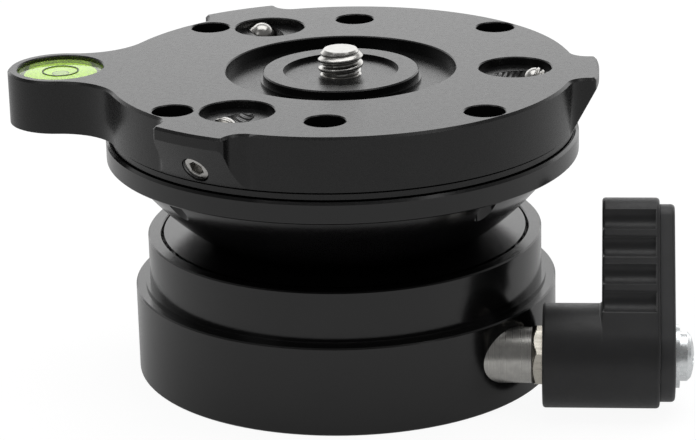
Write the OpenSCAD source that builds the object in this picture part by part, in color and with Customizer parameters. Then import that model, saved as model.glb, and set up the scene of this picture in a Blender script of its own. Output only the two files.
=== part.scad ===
// Lever-locked half-ball leveling base with a round platform, a camera stud and a bubble vial.
// Millimetres. The origin is the centre of the underside, +Z is up and +X points to the lever.

/* [Base] */
// Diameter of the lower ring
base_d = 60; // [58:0.5:66]
// Height of the lower ring
base_h = 12.7; // [12.2:0.1:15]
// Diameter of the collar above the lower ring
collar_d = 56; // [54.5:0.1:57]
// Height of the collar above the lower ring
collar_h = 7.3; // [6.5:0.1:9]
// Chamfer on the outer edges of the base
base_edge = 0.2; // [0.1:0.05:0.4]
// Width of the small bead at the foot of the collar
bead_w = 0.6; // [0.3:0.1:0.9]
// Height of the small bead at the foot of the collar
bead_h = 0.4; // [0.2:0.1:0.8]
// Diameter of the room inside the base
cavity_d = 45; // [44:0.2:46]
// Height of the bore bottom below the top of the lower ring, where the seat ring lands
seat_sink = 0.7; // [0.5:0.1:1]
// Outer diameter of the seat ring
seat_d = 52.2; // [50:0.2:53]

/* [Bottom cover] */
// Diameter of the bottom cover
cover_d = 55.6; // [55.2:0.1:56.4]
// Thickness of the bottom cover
cover_t = 2.5; // [2.2:0.1:3]
// Distance of the cover screws from the edge of the cover
cover_screw_in = 2.8; // [2.6:0.1:3]
// Thread diameter of the cover screws
cover_screw_d = 3; // [2.5:0.5:3]
// Head diameter of the cover screws
cover_head_d = 5; // [4.6:0.1:5]
// Length of the cover screws
cover_screw_l = 8; // [6:0.5:9]
// Outer diameter of the threaded insert
insert_d = 14; // [13:0.5:16]
// Tap bore of the 3/8 inch 16 thread in the insert
insert_bore_d = 7.94; // [7.8:0.02:8.1]

/* [Ball joint] */
// Radius of the half ball
ball_r = 35.2; // [34.9:0.1:35.5]
// Gap between the shoulder of the half ball and the collar
shoulder_gap = 0.37; // [0.3:0.01:0.45]
// Radius of the rounded neck above the shoulder
neck_r = 37; // [36:0.5:40]
// Diameter of the neck where it leaves the shoulder
neck_foot_d = 38.8; // [36:0.2:40]
// Wall of the half ball
ball_wall = 8.2; // [7.8:0.1:8.6]
// Diameter of the opening on top of the half ball
ball_mouth_d = 45.2; // [44.6:0.2:46]
// Diameter of the opening under the half ball
throat_d = 28.2; // [27.8:0.1:29.2]
// Largest tilt about one axis
tilt_angle = 10; // [6:1:10]
// Gap on each side of the friction liner and of the slip washer
ball_gap = 0.3; // [0.2:0.05:0.4]
// Thickness of the friction liner
liner_t = 0.9; // [0.6:0.1:1]
// Width of the friction liner
liner_w = 2.2; // [1.4:0.1:2.2]
// Overhang of the friction liner past the bore of the seat ring
liner_over = 0.7; // [0.3:0.1:0.7]
// Depth of the seat ring below the collar top
seat_drop = 3.5; // [3:0.1:4]
// Bore through the seat ring
seat_bore_d = 36; // [35:0.5:36.5]
// Thickness of the slip washer
slip_t = 0.8; // [0.6:0.1:1]
// Overhang of the slip washer past the edge of the clamp dome
slip_over = 0.2; // [0:0.1:0.4]
// Set-back of the slip washer from the opening under the half ball
slip_in = 0.7; // [0.6:0.1:1]
// Height of the flange above the collar
neck_h = 11.4; // [11:0.1:12]
// Overhang of the flange past the platform
flange_out = 0.3; // [0:0.05:0.8]
// Thickness of the flange
flange_t = 3.05; // [2.6:0.05:3.4]
// Set-back of the spigot between flange and platform from the platform rim
spigot_in = 2; // [1.5:0.1:3]
// Height of the spigot, which is the dark gap under the platform
spigot_h = 0.2; // [0.2:0.05:0.6]

/* [Platform] */
// Diameter of the platform
plate_d = 66; // [64.6:0.1:67]
// Thickness of the platform
plate_t = 8.65; // [8.3:0.05:9]
// Chamfer on the top edge of the platform
plate_edge = 0.35; // [0.2:0.05:0.5]
// Height of the narrower band under the platform rim
band_h = 0.75; // [0.5:0.05:1]
// Set-back of the band from the platform rim
band_in = 0.4; // [0.3:0.05:0.6]
// Height of the fine groove between rim and band
groove_h = 0.35; // [0.2:0.05:0.5]
// Set-back of the fine groove from the platform rim
groove_in = 1.2; // [0.8:0.1:1.6]
// Diameter of the recess in the platform
recess_d = 32.3; // [30:0.1:34]
// Depth of the recess in the platform
recess_depth = 1.8; // [1.4:0.1:2.2]
// Chamfer on the holes in the platform
hole_edge = 0.15; // [0.1:0.05:0.3]
// Diameter of the counterbores of the platform screws
screw_hole_d = 5.6; // [5.6:0.1:5.9]
// Thread diameter of the platform screws
screw_d = 3; // [2.5:0.5:3]
// Head diameter of the platform screws
screw_head_d = 5.4; // [5:0.1:5.4]
// Head height of the platform screws
screw_head_h = 3; // [2:0.1:3.2]
// Metal left under the heads of the platform screws
screw_floor = 2.4; // [2:0.1:3]
// Thread length of the platform screws below the platform
screw_bite = 4.2; // [4:0.1:5]
// Distance of the four corner holes from the platform rim
corner_in = 3.4; // [3.3:0.1:3.6]
// Distance of the two middle holes from the platform rim
middle_in = 7.5; // [7.2:0.1:7.8]
// Diameter of the three large holes
pocket_d = 10.2; // [9.6:0.1:10.6]
// Depth of the large holes
pocket_depth = 1.15; // [1:0.05:1.4]
// Distance of the large holes from the platform rim
pocket_in = 8.6; // [8.4:0.1:9]

/* [Lock screw tabs] */
// Reach of a tab past the platform rim
tab_out = 3.1; // [2.9:0.05:3.2]
// Width of a tab
tab_w = 11.4; // [10.4:0.1:12.4]
// Rounding of the corners of a tab
tab_corner = 0.7; // [0.6:0.1:1.2]
// Height of the upright lip at the top of a tab
tab_lip = 1.7; // [1.5:0.1:1.8]
// Slope of the cone under the lip, from upright
tab_slope = 28; // [28:0.5:30]
// Radius of the hollow blend beside a tab
tab_blend = 2.5; // [1.5:0.1:3.5]
// Thread diameter of the lock screws
lock_d = 4; // [3.6:0.1:4.2]
// Length of the lock screws
lock_l = 9.2; // [8:0.1:9.3]
// Depth of the lock screw axis below the platform top, on the tab face
lock_drop = 5.6; // [5.4:0.1:5.7]
// Depth of the lock screw end below the tab face
lock_sink = 0.3; // [0.2:0.1:0.8]
// Hexagon socket of the lock screws across flats
lock_hex = 2; // [1.5:0.1:2.2]

/* [Camera stud] */
// Diameter of the 1/4 inch 20 stud
stud_d = 6.35; // [6:0.05:6.4]
// Height of the stud above the platform
stud_rise = 2.7; // [2:0.1:6]
// Diameter of the plain root of the stud, set in the hub
root_d = 5.8; // [5:0.1:5.9]
// Diameter of the raised hub around the stud
hub_d = 21.85; // [20:0.05:24]
// Depth of the hub top below the platform top
hub_drop = 0.3; // [0:0.05:0.6]
// Diameter of the dish in the hub
dish_d = 16.2; // [14:0.1:17]
// Depth of the dish in the hub
dish_depth = 0.6; // [0.4:0.1:1]
// Diameter of the hub shank in the platform
shank_d = 17; // [15:0.2:18]
// Outer diameter of the nut under the platform
hub_nut_d = 22; // [20:0.2:24]
// Height of the nut under the platform
hub_nut_h = 2.4; // [2:0.1:2.8]

/* [Vial arm] */
// Distance of the vial past the platform rim
vial_out = 6.75; // [6:0.05:8]
// Diameter of the vial pocket
vial_d = 12.2; // [11.4:0.1:12.6]
// Depth of the vial pocket
vial_pocket = 6.5; // [5.5:0.1:7]
// Depth of the vial below the platform top
vial_sink = 0.6; // [0.4:0.1:1]
// Wall of the vial
vial_wall = 0.95; // [0.7:0.05:1.1]
// Metal around the vial pocket
arm_rim = 1.35; // [1:0.05:2]
// Radius of the hollow blend between arm and platform
arm_blend = 9; // [7:0.5:14]
// Diameter of the ring on the vial
mark_d = 5; // [4:0.1:6]
// Diameter of the bubble
bubble_d = 2.3; // [2:0.1:3.6]

/* [Clamp] */
// Distance of the lever shaft from the wall of the room inside the base
shaft_in = 4.5; // [4.3:0.1:4.7]
// Height of the lever shaft above the underside
shaft_z = 7.3; // [7.3:0.05:7.5]
// Diameter of the shaft in the bush
journal_d = 5.5; // [5.4:0.1:6]
// Diameter of the shaft at its far end
tail_d = 4; // [3:0.1:4]
// Diameter of the eccentric
cam_d = 4.2; // [4:0.1:4.2]
// Throw of the eccentric
cam_throw = 0.6; // [0.3:0.1:0.6]
// Length of the eccentric
cam_l = 11; // [10.6:0.1:12]
// Outer diameter of the bush
bush_d = 7.7; // [7.4:0.1:7.8]
// Hexagon on the shaft, across flats
hex_af = 8; // [7.5:0.1:8.4]
// Length of hexagon that shows between bush and lever
hex_show = 1.4; // [1:0.1:2]
// Length of hexagon inside the lever
hex_in = 6.5; // [5:0.1:7]
// Turn of the hexagon about the shaft
hex_turn = 22; // [0:1:30]
// Width of the clamp yoke
yoke_w = 10; // [9:0.2:10]
// Thickness of the middle of the clamp yoke
yoke_t = 2.8; // [2.4:0.1:2.8]
// Thickness of each prong of the clamp yoke
prong_t = 1.3; // [1.2:0.1:1.5]
// Gap between the corners of the clamp yoke and the wall of the room
yoke_gap = 0.7; // [0.6:0.1:1]
// Length of the end blocks of the clamp yoke
yoke_block = 6.6; // [6.2:0.1:7]
// Diameter of the fulcrum pin
fulcrum_d = 4; // [3:0.1:4.2]
// Diameter of the draw bolt
draw_d = 6; // [5:0.1:6]
// Diameter of the cross nut on the draw bolt
cross_d = 7; // [6.6:0.1:7]
// Gap between the threaded insert and the clamp yoke
insert_gap = 0.7; // [0.6:0.05:1]
// Height of the clamp dome
dome_h = 6.9; // [6.4:0.1:7.2]
// Head diameter of the draw bolt
draw_head_d = 10; // [9:0.1:10]
// Head height of the draw bolt
draw_head_h = 4; // [3:0.1:4.2]

/* [Lever] */
// Gap between the lever hub and the base
lever_gap = 0.5; // [0.4:0.1:1.2]
// Radius of the lever hub
hub_r = 7.2; // [6.6:0.1:7.2]
// Length of the lever hub
lever_l = 16; // [15:0.1:17]
// Width of the lever blade along the shaft
blade_w = 7.9; // [6.5:0.1:8]
// Height of the blade above the shaft
blade_h = 22.3; // [21:0.1:24]
// Lean of the blade to the back
blade_lean = 33; // [0:1:40]
// Radius of the blade tip
tip_r = 3.6; // [3.2:0.1:4.2]
// Number of flutes on each face of the blade
flutes = 4; // [3:1:4]
// Spacing of the flutes
flute_pitch = 4.05; // [3.8:0.05:4.2]
// Radius of a flute
flute_r = 1.65; // [1.4:0.05:1.7]
// Depth of a flute
flute_depth = 0.95; // [0.6:0.05:1]
// Wall left between the flutes and the outer face of the blade
flute_wall = 0.5; // [0.4:0.05:0.8]
// Distance of the topmost flute below the blade tip
flute_top = 3.75; // [3.5:0.05:4.1]
// Thickness of the lever cover
lid_t = 2.1; // [1.6:0.1:2.6]
// Set-back of the lever cover from the blade outline
lid_in = 0.9; // [0.5:0.1:1.4]
// Diameter of the lever screw
pin_d = 4; // [3:0.1:4]
// Diameter of the washer under the lever screw
washer_d = 8.7; // [8:0.1:9]
// Thickness of the washer under the lever screw
washer_t = 0.6; // [0.4:0.1:1]
// Head diameter of the lever screw
head_d = 6.8; // [6:0.1:7.2]
// Head height of the lever screw
head_h = 2; // [1.6:0.1:2.6]

/* [Fits] */
// Radial clearance of a running fit
run_fit = 0.05; // [0.02:0.01:0.08]
// Radial clearance between fixed pieces
seat_fit = 0.02; // [0.01:0.01:0.05]
// Clearance of the eccentric in the yoke
cam_fit = 0.2; // [0.15:0.05:0.25]

/* [Hidden] */
$fn = 96;
// Overshoot of a cut past the face it opens
cut = 0.5;

// Heights of the base and of the ball
collar_z = base_h + collar_h;
seat_z = base_h - seat_sink;
seat_r = seat_d / 2 + seat_fit;
shoulder_r = seat_r - shoulder_gap;
ball_z = collar_z + sqrt(pow(ball_r, 2) - pow(shoulder_r, 2));
neck_z = collar_z + sqrt(pow(neck_r, 2) - pow(neck_foot_d / 2, 2));
ball_in_r = ball_r - ball_wall;
cover_screw_r = cover_d / 2 - cover_screw_in;

// Radii of the concentric spheres, from outside to inside
liner_in_r = ball_r + ball_gap;
liner_out_r = liner_in_r + liner_t;
groove_r = liner_out_r + ball_gap;
slip_out_r = ball_in_r - ball_gap;
slip_in_r = slip_out_r - slip_t;
dome_r = slip_in_r - ball_gap - cam_fit;

// Polar angles of the zones on these spheres, measured from straight down
liner_foot_r = seat_bore_d / 2 - liner_over;
liner_from = asin(liner_foot_r / liner_out_r);
liner_to = asin((liner_foot_r + liner_w) / liner_out_r);
throat_angle = asin(throat_d / 2 / ball_in_r);
slip_foot_r = throat_d / 2 + slip_in;
slip_from = asin(slip_foot_r / slip_out_r);
dome_edge_r = sqrt(pow(dome_r, 2) - pow(dome_r - dome_h, 2));
slip_to = asin((dome_edge_r + slip_over) / slip_out_r);

// Heights of the flange and of the platform
flange_z = collar_z + neck_h;
spigot_z = flange_z + flange_t;
plate_z = spigot_z + spigot_h;
top_z = plate_z + plate_t;
plate_r = plate_d / 2;
flange_r = plate_r + flange_out;
spigot_r = plate_r - spigot_in;
corner_r = plate_r - corner_in;
middle_r = plate_r - middle_in;
pocket_r = plate_r - pocket_in;
tab_reach = plate_r + tab_out;
vial_x = plate_r + vial_out;
floor_z = top_z - recess_depth;
hub_z = top_z - hub_drop;
head_seat_z = plate_z + screw_floor;
rim_low = band_h + groove_h;
screw_angles = [45, 135, 225, 315];
middle_angles = [90, 270];
tab_angles = [0, 120, 240];

// Lock screws: the axis is square to the cone of the tab and comes up in the large hole
lock_z = top_z - lock_drop;
lock_x = tab_reach - (lock_drop - tab_lip) * tan(tab_slope);
lock_run = (lock_x - pocket_r + pocket_d / 3) / cos(tab_slope);
lock_tip_l = 1;

// Clamp: the yoke stays under the liner when the ball is tilted and the eccentric lifts it
shaft_off = cavity_d / 2 - shaft_in;
yoke_reach = sqrt(pow(cavity_d / 2 - yoke_gap, 2) - pow(yoke_w / 2, 2));
yoke_top_z = ball_z - liner_out_r * cos(liner_from - tilt_angle) - cam_throw - ball_gap;
yoke_low_z = yoke_top_z - yoke_t;
insert_h = yoke_low_z - insert_gap;
cross_wall = 0.9;
cross_z = yoke_low_z + cross_wall + cross_d / 2 + run_fit;
yoke_crown_z = cross_z + cross_d / 2 + run_fit + 2 * cross_wall;
yoke_crown_l = cross_d + 2 * run_fit + 2 * cross_wall;
fork_half = cam_d / 2 + cam_fit + prong_t;
fulcrum_half = fulcrum_d / 2 + run_fit + prong_t;
chord_in = sqrt(pow(cavity_d / 2, 2) - pow(shaft_off, 2));
chord_out = sqrt(pow(base_d / 2, 2) - pow(shaft_off, 2));
bush_start = cam_l / 2 + cam_fit;
tail_end = -chord_in - 0.6 * (chord_out - chord_in);
dome_z = ball_z - dome_r + dome_h;
dome_sink = 3;
dome_washer_t = 1.2;
dome_washer_d = draw_head_d + 3;
draw_head_z = dome_z - dome_sink + dome_washer_t;

// Lever, along the shaft
lever_x = sqrt(pow(base_d / 2, 2) - pow(shaft_off - hub_r, 2)) + lever_gap;
bush_end = lever_x - hex_show;
lever_end = lever_x + lever_l;
blade_x = lever_end - blade_w;
lid_end = lever_end + lid_t;
washer_end = lid_end + washer_t;
tip_h = blade_h - tip_r;
flank_in = 0.03;

// Vial arm
arm_r = vial_d / 2 + arm_rim;
vial_r = vial_d / 2 - run_fit;
vial_top = top_z - vial_sink;
vial_low = top_z - vial_pocket;
fluid_r = vial_r - vial_wall;
fluid_low = vial_low + vial_wall;
fluid_top = vial_top - vial_wall;

black = "#2b2b2d";
deep_black = "#161617";
steel = "#c9c9c6";
dark_steel = "#3a3a3c";
nickel = "#b9b3a4";
bronze = "#a98650";

// Disc with chamfered edges on top and underneath
module chamfered_disc(r, h, low, high) {
    rotate_extrude()
        polygon([[0, 0], [r - low, 0], [r, low], [r, h - high], [r - high, h], [0, h]]);
}

// Ring between two concentric spheres and two polar angles, measured from straight down
module ball_zone(r_in, r_out, from, to) {
    h = r_out + cut;
    translate([0, 0, ball_z])
        difference() {
            sphere(r = r_out);
            sphere(r = r_in);
            // Inside the smaller cone
            translate([0, 0, -h])
                cylinder(r1 = h * tan(from), r2 = 0, h = h);
            // Outside the larger cone
            difference() {
                translate([0, 0, -h])
                    cylinder(r = 2 * h, h = 2 * h + cut);
                translate([0, 0, -h])
                    cylinder(r1 = h * tan(to), r2 = 0, h = h);
            }
        }
}

// Things placed on the lever shaft, with the shaft as local X
module on_shaft() {
    translate([0, -shaft_off, shaft_z])
        rotate([0, 90, 0])
            rotate([0, 0, 90])
                children();
}

// Screw bores at the six platform holes
module at_plate_screws() {
    for (a = screw_angles)
        rotate([0, 0, a])
            translate([corner_r, 0, 0])
                children();
    for (a = middle_angles)
        rotate([0, 0, a])
            translate([middle_r, 0, 0])
                children();
}

// Lock screw axis, with local Z running inward and up
module on_lock_axis(a) {
    rotate([0, 0, a])
        translate([lock_x, 0, lock_z])
            rotate([0, tab_slope - 90, 0])
                children();
}

module base_body() {
    color(black)
        difference() {
            union() {
                chamfered_disc(base_d / 2, base_h, base_edge, base_edge);
                cylinder(r = collar_d / 2 + bead_w, h = base_h + bead_h);
                chamfered_disc(collar_d / 2, collar_z, 0, base_edge);
            }
            // Bore for the seat ring and the shoulder of the ball
            translate([0, 0, seat_z])
                cylinder(r = seat_r, h = collar_z);
            translate([0, 0, collar_z - hole_edge])
                cylinder(r1 = seat_r, r2 = seat_r + 2 * hole_edge, h = 2 * hole_edge);
            // Room for the clamp
            translate([0, 0, -cut])
                cylinder(r = cavity_d / 2, h = base_h);
            // Seat for the bottom cover
            translate([0, 0, -cut])
                cylinder(r = cover_d / 2 + seat_fit, h = cover_t + cut);
            // Cover screw threads
            for (a = [0, 90, 180, 270])
                rotate([0, 0, a])
                    translate([cover_screw_r, 0, 0])
                        cylinder(r = cover_screw_d / 2 + seat_fit, h = cover_screw_l + cut);
            // Bush bore
            on_shaft()
                cylinder(r = bush_d / 2 + seat_fit, h = base_d);
            // Blind bore for the shaft end
            on_shaft()
                translate([0, 0, tail_end - cut])
                    cylinder(r = tail_d / 2 + run_fit, h = -tail_end);
            // Fulcrum pin bore, open at the far side
            translate([-base_d / 2, shaft_off, shaft_z])
                rotate([0, 90, 0])
                    cylinder(r = fulcrum_d / 2 + seat_fit, h = base_d / 2 - tail_end + cut);
        }
}

module seat_ring() {
    color(deep_black)
        difference() {
            translate([0, 0, seat_z])
                chamfered_disc(seat_d / 2, collar_z - seat_drop - seat_z, 0, base_edge / 2);
            translate([0, 0, seat_z - cut])
                cylinder(r = seat_bore_d / 2, h = collar_h);
            // Round seat for the liner
            translate([0, 0, ball_z])
                sphere(r = groove_r);
        }
}

module bottom_cover() {
    color(black)
        difference() {
            chamfered_disc(cover_d / 2, cover_t, 0, 0);
            translate([0, 0, -cut])
                cylinder(r = insert_d / 2 + seat_fit, h = cover_t + 2 * cut);
            for (a = [0, 90, 180, 270])
                rotate([0, 0, a])
                    translate([cover_screw_r, 0, -cut]) {
                        cylinder(r = cover_screw_d / 2 + seat_fit, h = cover_t + 2 * cut);
                        // Countersink with the same slope as the head
                        cylinder(r1 = cover_head_d / 2 + cut + 2 * seat_fit, r2 = 0,
                            h = cover_head_d / 2 + cut + 2 * seat_fit);
                    }
        }
}

module thread_insert() {
    flange_w = 1.5;
    color(steel)
        difference() {
            union() {
                cylinder(r = insert_d / 2, h = insert_h);
                translate([0, 0, cover_t])
                    cylinder(r = insert_d / 2 + flange_w, h = flange_w);
            }
            translate([0, 0, -cut])
                cylinder(r = insert_bore_d / 2, h = insert_h + 2 * cut);
        }
}

module cover_screws() {
    color(dark_steel)
        for (a = [0, 90, 180, 270])
            rotate([0, 0, a])
                translate([cover_screw_r, 0, 0])
                    difference() {
                        union() {
                            translate([0, 0, cut / 2])
                                cylinder(r = cover_screw_d / 2, h = cover_screw_l - cut);
                            cylinder(r1 = cover_head_d / 2, r2 = cover_screw_d / 2,
                                h = (cover_head_d - cover_screw_d) / 2);
                        }
                        translate([0, 0, -cut])
                            cylinder(r = cover_screw_d / 3, h = 2 * cut + cover_screw_d / 4, $fn = 6);
                    }
}

module shaft_bush() {
    color(steel)
        on_shaft()
            translate([0, 0, bush_start])
                difference() {
                    chamfered_disc(bush_d / 2, bush_end - bush_start, 0, base_edge / 2);
                    translate([0, 0, -cut])
                        cylinder(r = journal_d / 2 + run_fit, h = base_d);
                }
}

module fulcrum_pin() {
    color(steel)
        translate([tail_end, shaft_off, shaft_z])
            rotate([0, 90, 0])
                cylinder(r = fulcrum_d / 2, h = -2 * tail_end);
}

// Hexagonal bar across flats, with a corner towards local X
module hex_bar(af, h) {
    cylinder(r = af / sqrt(3), h = h, $fn = 6);
}

module cam_shaft() {
    hex_l = hex_show + hex_in - run_fit;
    hex_corner = hex_af / sqrt(3);
    color(nickel)
        on_shaft()
            difference() {
                union() {
                    translate([0, 0, cam_l / 2])
                        cylinder(r = journal_d / 2, h = bush_end + run_fit - cam_l / 2);
                    translate([0, 0, bush_end + run_fit])
                        rotate([0, 0, -hex_turn])
                            intersection() {
                                hex_bar(hex_af, hex_l);
                                chamfered_disc(hex_corner, hex_l, hex_corner - hex_af / 2, 0);
                            }
                    // Eccentric, offset level with the shaft
                    translate([-cam_throw, 0, -cam_l / 2])
                        cylinder(r = cam_d / 2, h = cam_l);
                    translate([0, 0, tail_end])
                        cylinder(r = tail_d / 2, h = -tail_end - cam_l / 2);
                }
                // Thread for the lever screw
                translate([0, 0, bush_end - hex_in])
                    cylinder(r = pin_d / 2 + seat_fit, h = base_d);
            }
}

// Side outline of the lever, drawn in the plane square to the shaft, with the blade along +Y
module lever_outline(inset) {
    lean = asin((hub_r - tip_r) / tip_h);
    // The flanks run just inside the tangents of the two circles
    low = (hub_r - inset - flank_in) * [cos(lean), sin(lean)];
    high = (tip_r - inset - flank_in) * [cos(lean), sin(lean)];
    circle(r = hub_r - inset);
    translate([0, tip_h])
        circle(r = tip_r - inset);
    polygon([[-low[0], low[1]], low, [high[0], tip_h + high[1]], [-high[0], tip_h + high[1]]]);
}

// Cutters for the flutes on one face of the blade
module flute_cuts() {
    lean = asin((hub_r - tip_r) / tip_h);
    round_h = tip_h + tip_r * sin(lean);
    out = flute_r - flute_depth;
    for (i = [0 : flutes - 1]) {
        h = blade_h - flute_top - i * flute_pitch;
        face = h > round_h ? sqrt(pow(tip_r, 2) - pow(h - tip_h, 2)) : (hub_r - h * sin(lean)) / cos(lean);
        translate([-face - out, h])
            circle(r = flute_r);
    }
}

module lever_knob() {
    color(black)
        on_shaft()
            difference() {
                rotate([0, 0, -blade_lean]) {
                    translate([0, 0, lever_x])
                        chamfered_disc(hub_r, lever_l, 2 * base_edge, 0);
                    translate([0, 0, blade_x])
                        linear_extrude(height = blade_w - flute_wall)
                            difference() {
                                lever_outline(0);
                                flute_cuts();
                                mirror([1, 0])
                                    flute_cuts();
                            }
                    translate([0, 0, lever_end - flute_wall])
                        linear_extrude(height = flute_wall)
                            lever_outline(0);
                }
                // Hexagon socket and screw hole
                translate([0, 0, lever_x - cut])
                    rotate([0, 0, -hex_turn])
                        hex_bar(hex_af + 2 * run_fit, hex_in + cut + run_fit);
                cylinder(r = pin_d / 2 + run_fit, h = base_d);
            }
}

module lever_cover() {
    color(black)
        on_shaft()
            translate([0, 0, lever_end])
                difference() {
                    rotate([0, 0, -blade_lean])
                        linear_extrude(height = lid_t)
                            lever_outline(lid_in);
                    translate([0, 0, -cut])
                        cylinder(r = pin_d / 2 + run_fit, h = lid_t + 2 * cut);
                }
}

module lever_washer() {
    color(steel)
        on_shaft()
            translate([0, 0, lid_end])
                difference() {
                    cylinder(r = washer_d / 2, h = washer_t);
                    translate([0, 0, -cut])
                        cylinder(r = pin_d / 2 + run_fit, h = washer_t + 2 * cut);
                }
}

module lever_screw() {
    round_r = 1.3 * head_d;
    color(steel)
        on_shaft()
            translate([0, 0, washer_end])
                difference() {
                    union() {
                        intersection() {
                            chamfered_disc(head_d / 2, head_h, 0, head_h / 2);
                            translate([0, 0, head_h - round_r])
                                sphere(r = round_r);
                        }
                        translate([0, 0, bush_end - washer_end])
                            cylinder(r = pin_d / 2, h = washer_end - bush_end + cut);
                    }
                    // Cross recess
                    for (a = [0, 90])
                        rotate([0, 0, a])
                            translate([-head_d / 3, -head_d / 14, head_h / 2])
                                cube([2 * head_d / 3, head_d / 7, head_h]);
                }
}

module clamp_yoke() {
    bar = [yoke_w, 2 * yoke_reach - yoke_block, yoke_t];
    color(dark_steel)
        difference() {
            union() {
                translate([-bar[0] / 2, -yoke_reach + yoke_block / 2, yoke_low_z])
                    cube(bar);
                // Crown over the cross nut
                translate([-yoke_w / 2, -yoke_crown_l / 2, yoke_low_z])
                    cube([yoke_w, yoke_crown_l, yoke_crown_z - yoke_low_z]);
                difference() {
                    union() {
                        // Fork around the eccentric
                        translate([-yoke_w / 2, -yoke_reach, shaft_z - fork_half])
                            cube([yoke_w, yoke_block, 2 * fork_half]);
                        // Block around the fulcrum pin
                        translate([-yoke_w / 2, yoke_reach - yoke_block, shaft_z - fulcrum_half])
                            cube([yoke_w, yoke_block, 2 * fulcrum_half]);
                    }
                    // Hollow under the path of the liner
                    translate([0, 0, ball_z])
                        sphere(r = liner_out_r + cam_throw + ball_gap);
                }
            }
            // Open slot of the fork
            translate([-yoke_w, -yoke_reach - cut, shaft_z - cam_d / 2 - cam_fit])
                cube([2 * yoke_w, yoke_reach - shaft_off + cam_d / 2 + cam_fit + cut, cam_d + 2 * cam_fit]);
            translate([-yoke_w, shaft_off, shaft_z])
                rotate([0, 90, 0])
                    cylinder(r = fulcrum_d / 2 + run_fit, h = 2 * yoke_w);
            translate([-yoke_w, 0, cross_z])
                rotate([0, 90, 0])
                    cylinder(r = cross_d / 2 + run_fit, h = 2 * yoke_w);
            // Hole for the draw bolt
            translate([0, 0, yoke_low_z - cut])
                cylinder(r = draw_d / 2 + cam_fit, h = ball_r);
        }
}

module clamp_dome() {
    color(dark_steel)
        difference() {
            translate([0, 0, ball_z])
                sphere(r = dome_r);
            translate([0, 0, dome_z])
                cylinder(r = 2 * ball_r, h = 2 * ball_r);
            translate([0, 0, dome_z - dome_sink])
                cylinder(r = dome_washer_d / 2 + cam_fit, h = ball_r);
            translate([0, 0, -cut])
                cylinder(r = draw_d / 2 + run_fit, h = ball_z);
        }
}

module dome_washer() {
    color(steel)
        translate([0, 0, dome_z - dome_sink])
            difference() {
                cylinder(r = dome_washer_d / 2, h = dome_washer_t);
                translate([0, 0, -cut])
                    cylinder(r = draw_d / 2 + run_fit, h = dome_washer_t + 2 * cut);
            }
}

module draw_bolt() {
    foot_z = cross_z - cross_d / 2 + cross_wall;
    color(steel)
        difference() {
            union() {
                translate([0, 0, foot_z])
                    cylinder(r = draw_d / 2, h = draw_head_z - foot_z + cut);
                translate([0, 0, draw_head_z])
                    cylinder(r = draw_head_d / 2, h = draw_head_h);
            }
            translate([0, 0, draw_head_z + draw_head_h / 2])
                hex_bar(draw_d - 1, draw_head_h);
        }
}

module cross_nut() {
    color(steel)
        difference() {
            translate([-yoke_w / 2, 0, cross_z])
                rotate([0, 90, 0])
                    cylinder(r = cross_d / 2, h = yoke_w);
            translate([0, 0, cross_z - cross_d])
                cylinder(r = draw_d / 2 + seat_fit, h = 2 * cross_d);
        }
}

module friction_liner() {
    color(bronze)
        ball_zone(liner_in_r, liner_out_r, liner_from, liner_to);
}

module slip_washer() {
    color(bronze)
        ball_zone(slip_in_r, slip_out_r, slip_from, slip_to);
}

module half_ball() {
    cone_h = ball_r + cut;
    color(black)
        difference() {
            union() {
                difference() {
                    intersection() {
                        translate([0, 0, ball_z])
                            sphere(r = ball_r);
                        cylinder(r = ball_r, h = flange_z + flange_t / 2);
                    }
                    // Neck turned down to the shoulder, which is level with the collar
                    difference() {
                        translate([0, 0, collar_z])
                            cylinder(r = 2 * ball_r, h = neck_h + flange_t);
                        translate([0, 0, neck_z])
                            sphere(r = neck_r);
                    }
                }
                translate([0, 0, flange_z])
                    chamfered_disc(flange_r, flange_t, plate_edge / 2, plate_edge);
                translate([0, 0, spigot_z - cut])
                    cylinder(r = spigot_r, h = spigot_h + cut);
            }
            // Room for the clamp dome
            intersection() {
                translate([0, 0, ball_z])
                    sphere(r = ball_in_r);
                cylinder(r = ball_mouth_d / 2, h = ball_z);
            }
            // Opening for the draw bolt
            translate([0, 0, ball_z - cone_h])
                cylinder(r1 = cone_h * tan(throat_angle), r2 = 0, h = cone_h);
            // Corner threads run out on the slope of the neck
            for (a = screw_angles)
                rotate([0, 0, a])
                    translate([corner_r, 0, collar_z])
                        cylinder(r = screw_d / 2 + seat_fit, h = ball_r);
            for (a = middle_angles)
                rotate([0, 0, a])
                    translate([middle_r, 0, plate_z - screw_bite - cut])
                        cylinder(r = screw_d / 2 + seat_fit, h = ball_r);
        }
}

// Cutter for a hollow blend with a chamfered top edge
module blend_cut(r, h) {
    translate([0, 0, -cut])
        cylinder(r = r, h = h + 2 * cut);
    translate([0, 0, h - plate_edge])
        cylinder(r1 = r, r2 = r + 2 * plate_edge, h = 2 * plate_edge);
}

// Cutter for a round hole with a chamfered top edge
module eased_hole(r, floor_height) {
    translate([0, 0, floor_height])
        cylinder(r = r, h = plate_t);
    translate([0, 0, top_z - hole_edge])
        cylinder(r1 = r, r2 = r + 2 * hole_edge, h = 2 * hole_edge);
}

// Cutter for the cone under the lip of a tab
module tab_cone(h) {
    foot_r = tab_reach - (h - tab_lip + cut) * tan(tab_slope);
    rotate_extrude()
        polygon([[foot_r, -cut], [tab_reach, h - tab_lip], [2 * tab_reach, h - tab_lip],
            [2 * tab_reach, -cut]]);
}

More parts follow.
